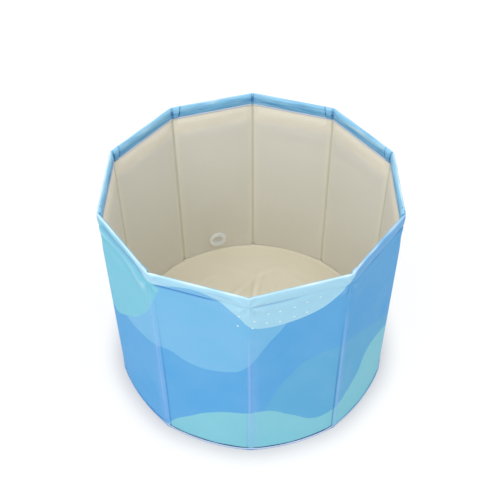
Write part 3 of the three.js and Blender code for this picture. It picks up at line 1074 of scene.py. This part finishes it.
def make_foot(k):
    reach = FLANGE_REACH.get(k, PLAIN_REACH)
    section = FLANGE_FOOT + [(reach + out, z) for out, z in FLANGE_EDGE] + FLANGE_TOP
    flange = sweep(f"foot_flange_{k + 1}", k, section, "welt", FOOT_DRAW, FOOT_X)
    place_piece(flange, k, "welt_pvc", "bottom_welt")
    (out, z), (wide, high) = PIPING_CENTRE, PIPING_RADII
    section = [(out + wide * math.cos(turn), z + high * math.sin(turn)) for turn in circle(PIPING_STEPS)]
    # The piping under the front panels is darker than the same piping on the sides: partly painted shadow
    material = "piping" if k in FLANGE_REACH else "side piping"
    place_piece(sweep(f"foot_piping_{k + 1}", k, section, material, FOOT_DRAW, FOOT_X), k, "base_pvc")


# Welds on the fold lines: a flat violet blue ridge, whose half width and rise grow from the first to the
# second value below its top
WELD_STEPS = 20
WELD_Z = [0.0056, 0.0062, 0.008, 0.012] + spread(0.012, 0.446, 36)
WELD_SEAT = FOLD_RADIUS - 0.0003
WELD_WIDTHS = (0.0020, 0.0025)
WELD_RISES = (0.0007, 0.0023)
WELD_FOOT = (0.026, -0.02, 0.6)
WELD_ROUND = 0.8
WELD_BACK = 0.0004
WELD_BACK_WIDTH = 0.8
# Painted highlight along each weld's crest: its least and most strength, the share of the crest it covers,
# and the size and shift of its unevenness up the weld
WELD_HIGHLIGHT = (0.072, 0.153)
WELD_HIGHLIGHT_WIDTH = 0.7
WELD_HIGHLIGHT_SIZE = 0.045
WELD_SHIFT = 3.1


def make_weld(k):
    out = direction(corner_angle(k))
    along = direction(corner_angle(k) + math.pi / 2)
    vertices, uvs, painted_shading_and_tone = [], [], []
    for z in WELD_Z:
        low = weld_share(k, -HALF_CHORD, z)
        wide = between(WELD_WIDTHS, low)
        high = between(WELD_RISES, low) * (1 - rise(z, *WELD_FOOT))
        # Painted highlight on the crest, stronger low down and uneven up the weld
        highlight = low * between(WELD_HIGHLIGHT, noise.noise(Vector((z / WELD_HIGHLIGHT_SIZE, WELD_SHIFT * k, 0.5))))
        for t in circle(WELD_STEPS):
            outside = math.sin(t) >= 0
            reach = high * math.sin(t) ** WELD_ROUND if outside else WELD_BACK * math.sin(t)
            across = wide * math.cos(t) * (1 if outside else WELD_BACK_WIDTH)
            vertices.append(out * (WELD_SEAT + reach) + along * across + Vector((0, 0, z)))
            uvs.append((round_start(k) + across, z))
            painted_shading_and_tone.append(highlight * max(0.0, 1 - abs(math.cos(t)) / WELD_HIGHLIGHT_WIDTH) if outside else 0.0)
    weld = make_object(f"fold_weld_{k + 1}", vertices, tube_faces(len(WELD_Z), WELD_STEPS), uvs, "rib", painted_shading_and_tone)
    place_piece(weld, k, "hinge_pvc", f"fold_hinge_{k + 1}")


# Floor and base: one gore of each to a wall, so that they can gather towards it as the tub folds
GORE_X = [HALF_CHORD - CHORD * i / 36 for i in range(37)]
GORE_SHARES = [0.03 + 0.92 * i / 48 for i in range(49)] + [0.965, 0.98, 0.99, 1.0]
FLOOR_EDGE = -0.0042
FLOOR_UNDERSIDE = 0.0016
BASE_TOP = 0.0014
BASE_INSET = 0.8

# The floor's level, its soft unevenness, its creases' sharpness, and its turned-up edge
FLOOR_LEVEL = 0.0033
FOLD_SIZE = 0.11
FOLD_PLACE = Vector((3.1, 1.7, 0))
FOLD_RISE = 0.0030
FINE_SIZE = 0.045
FINE_PLACE = Vector((0, 0, 6.0))
FINE_RISE = 0.0006
CREASE_SHARE = 1.25
CREASE_BEND = 1.6
FLOOR_FADE = (0.272, -0.05)
TURN_UP = 0.0045
TURN_UP_EDGE = (0.975, 0.025)
TURN_UP_NORMALS = 0.97
NORMAL_STEP = 0.001
NORMAL_SHARE = 0.004
# Painted shading of the floor's creases: the step and share that turn its bending into light and shade, and
# its limits
SHADING_STEP = 0.006
SHADING_SHARE = 0.010
SHADING_LIMITS = (-0.5, 0.6)

# Creases of the floor lining: place, direction in degrees, length, width and height, in millimetres
FLOOR_CREASES = [(-150, -60, 70, 46, 7, 1.5), (-118, 10, 96, 52, 8, 1.7), (-96, -120, 48, 60, 7, 2.0),
                 (-58, -160, 82, 44, 6, 1.6), (-44, -72, 118, 64, 9, 1.8), (-12, -140, 100, 52, 7, 2.1),
                 (22, -176, 84, 48, 6, 1.7), (30, -92, 66, 60, 8, 1.9), (66, -136, 104, 50, 7, 1.8),
                 (92, -70, 132, 56, 8, 1.7), (128, -110, 124, 42, 6, 1.5), (150, -24, 92, 50, 8, 1.6),
                 (118, 52, 70, 58, 8, 1.7), (64, 92, 112, 60, 9, 1.8), (8, 130, 84, 52, 7, 1.6),
                 (-52, 104, 60, 58, 8, 1.8), (-104, 84, 128, 46, 7, 1.5), (6, 20, 24, 66, 9, 1.6),
                 (-70, 30, 150, 52, 8, 1.5), (82, 0, 8, 54, 8, 1.5), (-112, 172, 34, 40, 10, 1.2),
                 (-46, 206, 158, 44, 11, 1.2), (42, 200, 22, 42, 10, 1.2), (112, 166, 140, 42, 10, 1.2)]


def floor_height(x, y):
    """Soft creases of the floor lining, which turns up a little where it meets the wall."""
    folds = 0.5 + 0.5 * noise.noise(Vector((x / FOLD_SIZE, y / FOLD_SIZE, 0)) + FOLD_PLACE)
    fine = 1 + noise.noise(Vector((x / FINE_SIZE, y / FINE_SIZE, 0)) + FINE_PLACE)
    creases = 0.0
    for cx, cy, angle, long, wide, high in FLOOR_CREASES:
        dx, dy = x - cx / 1000, y - cy / 1000
        ca, sa = math.cos(math.radians(angle)), math.sin(math.radians(angle))
        along = dx * ca + dy * sa
        if abs(along) <= 2 * long / 1000:
            across = dy * ca - dx * sa + CREASE_BEND * along * along
            height = mark(across, 0.0, wide / 1000, CREASE_SHARE * high / 1000)
            creases += height * mark(along, 0.0, long / 1000)
    fade = rise(math.hypot(x, y), *FLOOR_FADE)
    return FLOOR_LEVEL + fade * (FOLD_RISE * folds + creases + FINE_RISE * fine)


def floor_edge(k, x):
    return panel_point(k, x, FLOOR_EDGE + bow(x, 0), 0)


def base_edge(k, x):
    reach = FLANGE_REACH.get(k, PLAIN_REACH) - BASE_INSET
    return panel_point(k, x, reach / 1000 + skin_bow(x, 0), 0)


def floor_point(k, share, x):
    p = floor_edge(k, x) * share
    return Vector((p.x, p.y, floor_height(p.x, p.y) + TURN_UP * rise(share, *TURN_UP_EDGE) ** 2))


def heights_beside(x, y, step):
    """The floor's height one step to either side of a place, along X and then along Y."""
    return [floor_height(x + dx, y + dy) for dx, dy in ((step, 0), (-step, 0), (0, step), (0, -step))]


def floor_normal(k, share, x):
    if share > TURN_UP_NORMALS:
        lower = floor_point(k, share - NORMAL_SHARE, x)
        upper = floor_point(k, min(1.0, share + NORMAL_SHARE), x)
        across = floor_point(k, share, x + NORMAL_STEP) - floor_point(k, share, x - NORMAL_STEP)
        return (upper - lower).cross(across).normalized()
    p = floor_point(k, share, x)
    right, left, far, near = heights_beside(p.x, p.y, NORMAL_STEP)
    return Vector((left - right, near - far, 2 * NORMAL_STEP)).normalized()


def floor_painted_shading(x, y):
    """Painted shading of the floor's creases: above 0, painted light, along its ridges, and below 0, painted
    shade, in its valleys.
    """
    painted_shading_and_tone = SHADING_SHARE * (4 * floor_height(x, y) - sum(heights_beside(x, y, SHADING_STEP))) / SHADING_STEP ** 2
    return min(SHADING_LIMITS[1], max(SHADING_LIMITS[0], painted_shading_and_tone))


def make_gore(kind, k, top, bottom, node, painted_shading_and_tone=None):
    """A closed wedge from the floor's middle to wall k's foot, which gathers towards it as the tub folds."""
    gore = make_sheet(f"{kind}_gore_{k + 1}", GORE_SHARES, GORE_X, top, bottom,
                      lambda share, x: top(share, x)[:2], kind, painted_shading_and_tone, pole=True)
    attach(gore, body(k))
    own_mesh(gore)
    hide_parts(node)
    return gore


def make_floor(k):
    def underside(share, x):
        edge = floor_edge(k, x) * share
        return Vector((edge.x, edge.y, FLOOR_UNDERSIDE))

    floor = make_gore("floor", k, lambda share, x: floor_point(k, share, x), underside,
                      "floor_lining", lambda share, x: floor_painted_shading(*underside(share, x)[:2]))
    places = [(share, x) for share in GORE_SHARES for x in GORE_X] + [(0.0, 0.0)]
    normals = [floor_normal(k, *place) for place in places]
    split = []
    for polygon in floor.data.polygons:
        on_top = max(polygon.vertices) < len(normals)
        split += [tuple(normals[v] if on_top else polygon.normal) for v in polygon.vertices]
    floor.data.normals_split_custom_set(split)
    base = make_gore("base", k, lambda share, x: base_edge(k, x) * share + Vector((0, 0, BASE_TOP)),
                     lambda share, x: base_edge(k, x) * share, "base_sheet")


for k in range(SIDES):
    make_skin(k)
    make_lining(k)
    make_seam_half(k, -1)
    make_seam_half(k, 1)
    make_edging(k)
    make_hem(k)
    make_core(f"seam_core_{k + 1}", k, CORE_PROFILE, CORE_OFFSET, "seam", "cream_pvc")
    make_core(f"hem_bend_{k + 1}", k, BEND_PROFILE, BEND_OFFSET, "hem", "hem_pvc")
    make_weld(k)
    make_floor(k)
    make_foot(k)

# Drain: turned pieces round an axis through the wall, at radii and places outwards, in millimetres
DRAIN_STEPS = 96
FLANGE_PROFILE = [(10.0, -6.2), (10.0, 16.4), (10.5, 16.9), (13.4, 16.9), (14.0, 16.3), (14.0, 7.0),
                  (14.4, 6.3), (15.4, 5.9), (23.4, 5.9), (24.8, 5.6), (25.7, 4.9), (26.0, 3.9),
                  (26.0, 2.6), (12.4, 2.6), (12.4, -6.2), (11.9, -6.7), (10.5, -6.7)]
NUT_PROFILE = [(12.8, -2.8), (12.8, -6.1), (13.4, -6.7), (16.4, -6.7), (17.0, -6.2), (19.0, -6.2),
               (19.6, -6.7), (20.8, -6.7), (21.6, -6.3), (22.0, -5.5), (22.0, -2.8)]
CAP_PROFILE = [(15.6, 7.4), (15.6, 19.1), (0.0, 19.1), (0.0, 20.1), (12.6, 20.1), (13.4, 20.4),
               (14.0, 21.0), (14.8, 21.1), (16.6, 21.1), (17.9, 20.7), (18.6, 19.8), (18.7, 18.8),
               (18.7, 8.2), (18.3, 7.3), (17.4, 6.9), (16.2, 6.9)]

# The grips of a turned piece: how many, how deep, and the radius beyond which they are cut
NUT_GRIPS = (8, 1.5, 20.0)
CAP_GRIPS = (12, 1.0, 17.0)

# The thread's ridge on the neck: half widths at its base and crest, and how it runs out at its ends
NECK_RADIUS = 14.0
THREAD_FROM = 8.0
THREAD_PITCH = 4.0
THREAD_TURNS = 1.75
THREAD_DEPTH = 1.0
THREAD_SINK = 0.4
THREAD_LEAST = 0.02
THREAD_RUN_OUT = 9
THREAD_BASE = 0.9
THREAD_CREST = 0.4

# The finger bar across the cap: its turn in radians, and its rows' places outwards and shares of its width
BAR_HALF_LENGTH = 11.5
BAR_HALF_WIDTH = 1.8
BAR_TURN = 0.5
BAR_ROWS = ((19.9, 1.0), (20.6, 1.0), (21.0, 0.8), (21.1, 0.5))
BAR_STEPS = 32


def drain_point(radius, turned_by, out):
    """A point round the drain's axis, from millimetres."""
    across, up = radius * math.cos(turned_by) / 1000, radius * math.sin(turned_by) / 1000
    return panel_point(DRAIN_PANEL, across, out / 1000 + bow(0, DRAIN_HEIGHT), DRAIN_HEIGHT + up)


def drain_piece(name, vertices, faces, material):
    return face_outwards(make_object(name, vertices, faces, [(v[0], v[2]) for v in vertices], material))


def drain_part(name, profile, material, grips=0, grip_depth=0.0, grip_from=0.0):
    """A turned piece, drawn in at each of its grips beyond the radius grip_from."""
    def point(radius, around, out):
        hollow = max(0.0, math.cos(grips * around)) ** 2 if radius > grip_from else 0.0
        return drain_point(radius - grip_depth * hollow, around, out)

    return drain_piece(name, *turned(profile, DRAIN_STEPS, point), material)


def drain_thread():
    """A helical ridge on the neck, which runs out into it at both ends."""
    steps = int(DRAIN_STEPS * THREAD_TURNS)
    vertices = []
    for i in range(steps + 1):
        out = THREAD_FROM + THREAD_PITCH * i / DRAIN_STEPS
        depth = rise(min(i, steps - i), 0, THREAD_RUN_OUT, THREAD_DEPTH) + THREAD_LEAST
        for side, height in ((-THREAD_BASE, -THREAD_SINK), (THREAD_BASE, -THREAD_SINK), (THREAD_CREST, depth),
                             (-THREAD_CREST, depth)):
            vertices.append(drain_point(NECK_RADIUS + height, 2 * math.pi * i / DRAIN_STEPS, out + side))
    return drain_piece("drain_thread", vertices, tube_faces(steps + 1, 4), "plastic")


def cap_bar():
    """The finger bar across the cap's hollow end."""
    vertices = []
    straight = BAR_HALF_LENGTH - BAR_HALF_WIDTH
    for out, share in BAR_ROWS:
        for around in circle(BAR_STEPS):
            across = math.copysign(straight, math.cos(around)) + BAR_HALF_WIDTH * share * math.cos(around)
            up = BAR_HALF_WIDTH * share * math.sin(around)
            vertices.append(drain_point(math.hypot(across, up), math.atan2(up, across) + BAR_TURN, out))
    return drain_piece("drain_cap_bar", vertices, tube_faces(len(BAR_ROWS), BAR_STEPS), "plastic")


def make_drain():
    flange = drain_part("drain_flange", FLANGE_PROFILE, "plastic")
    place_piece(flange, DRAIN_PANEL, "drain_plastic", "drain_body")
    place_piece(drain_thread(), DRAIN_PANEL, "drain_plastic")
    nut = drain_part("drain_ring_nut", NUT_PROFILE, "nut", *NUT_GRIPS)
    place_piece(nut, DRAIN_PANEL, "drain_plastic", "drain_nut")
    cap = drain_part("drain_screw_cap", CAP_PROFILE, "plastic", *CAP_GRIPS)
    for piece in (cap, cap_bar()):
        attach(piece, "screw_cap")
    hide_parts("drain_cap")


make_drain()

# The CAD solids that no piece stands for, and their finishes
KEPT_SOLIDS = {"stiffener_board": "board", "drain_washer": "rubber"}
for name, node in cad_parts.items():
    finish = KEPT_SOLIDS.get(name.rstrip("_0123456789"))
    if finish:
        node.data.materials.clear()
        node.data.materials.append(MATERIALS[finish])

# Stage: a floor that glows white to the camera, with the lamps' shadow and a painted contact shadow, tinted
# blue, where ambient occlusion dims the glow near the object; a plain world and two soft lamps
STAGE_SIZE = 12.0
STAGE_LEVEL = -0.0005
FLOOR_PAINT = (0.9, 0.9, 0.9, 1)
FLOOR_ROUGHNESS = 0.9
FLOOR_SHADE = (0.20, 0.20, 0.20, 1)
FLOOR_GLOW = (0.45, 1.3, 0.82, 0.89)
# The painted contact shadow: how far ambient occlusion reaches, its samples, how it dims the glow, and its
# blue tint
CONTACT_REACH = 0.06
CONTACT_SAMPLES = 16
CONTACT_RANGE = (0.40, 1.0, 0.62, 1.0)
CONTACT_SHADOW_TINT = srgb(230, 237, 250)
WORLD_STRENGTH = 0.80
LAMPS = (("key", (-1.1, -1.6, 2.4), 24, 1.8), ("overhead", (0.5, -0.5, 2.8), 14, 1.4))
LAMP_AIM = Vector((0, 0, 0.25))


def make_floor_material():
    """Pale to every ray, and white to the camera apart from the object's shadow."""
    n = new_material("studio_floor")
    pale = n.node("BsdfPrincipled", {"Base Color": FLOOR_PAINT, "Roughness": FLOOR_ROUGHNESS})
    shade = n.node("BsdfDiffuse", {"Color": FLOOR_SHADE})
    away = n.node("VectorMath", {0: n.object_place()}, operation="LENGTH").outputs["Value"]
    contact = n.node("AmbientOcclusion", {"Distance": CONTACT_REACH}, samples=CONTACT_SAMPLES).outputs["AO"]
    strength = n.math("MULTIPLY", n.ramp(away, *FLOOR_GLOW), n.ramp(contact, *CONTACT_RANGE))
    glow = n.node("Emission", {"Color": n.mix(contact, CONTACT_SHADOW_TINT, WHITE), "Strength": strength})
    white = n.node("AddShader", {0: shade.outputs[0], 1: glow.outputs[0]})
    seen = n.node("LightPath").outputs["Is Camera Ray"]
    mixed = n.node("MixShader", {0: seen, 1: pale.outputs[0], 2: white.outputs[0]})
    n.put(n.output, "Surface", mixed.outputs[0])
    return n.owner


def make_world():
    """A plain light, which the camera, gloss and glass see as white."""
    n = Nodes(bpy.data.worlds.new("studio"), "OutputWorld")
    light = n.node("Background", {"Color": WHITE, "Strength": WORLD_STRENGTH})
    seen = n.node("Background", {"Color": WHITE})
    rays = n.node("LightPath")
    seen_by = rays.outputs["Is Camera Ray"]
    for kind in ("Is Glossy Ray", "Is Transmission Ray"):
        seen_by = n.math("MAXIMUM", seen_by, rays.outputs[kind])
    mixed = n.node("MixShader", {0: seen_by, 1: light.outputs[0], 2: seen.outputs[0]})
    n.put(n.output, "Surface", mixed.outputs[0])
    return n.owner


def make_stage():
    corners = [(STAGE_SIZE * x, STAGE_SIZE * y, 0) for x, y in ((-1, -1), (1, -1), (1, 1), (-1, 1))]
    mesh = bpy.data.meshes.new("studio_floor")
    mesh.from_pydata(corners, [], [(0, 1, 2, 3)])
    mesh.materials.append(make_floor_material())
    floor = bpy.data.objects.new("studio_floor", mesh)
    floor.location.z = STAGE_LEVEL
    scene = bpy.context.scene
    scene.collection.objects.link(floor)
    scene.view_settings.view_transform = "Standard"
    scene.world = make_world()
    for name, place, energy, extent in LAMPS:
        data = bpy.data.lights.new(name, "AREA")
        data.energy = energy
        data.size = extent
        lamp = bpy.data.objects.new(name, data)
        lamp.location = place
        lamp.rotation_euler = (LAMP_AIM - Vector(place)).to_track_quat("-Z", "Y").to_euler()
        scene.collection.objects.link(lamp)


make_stage()
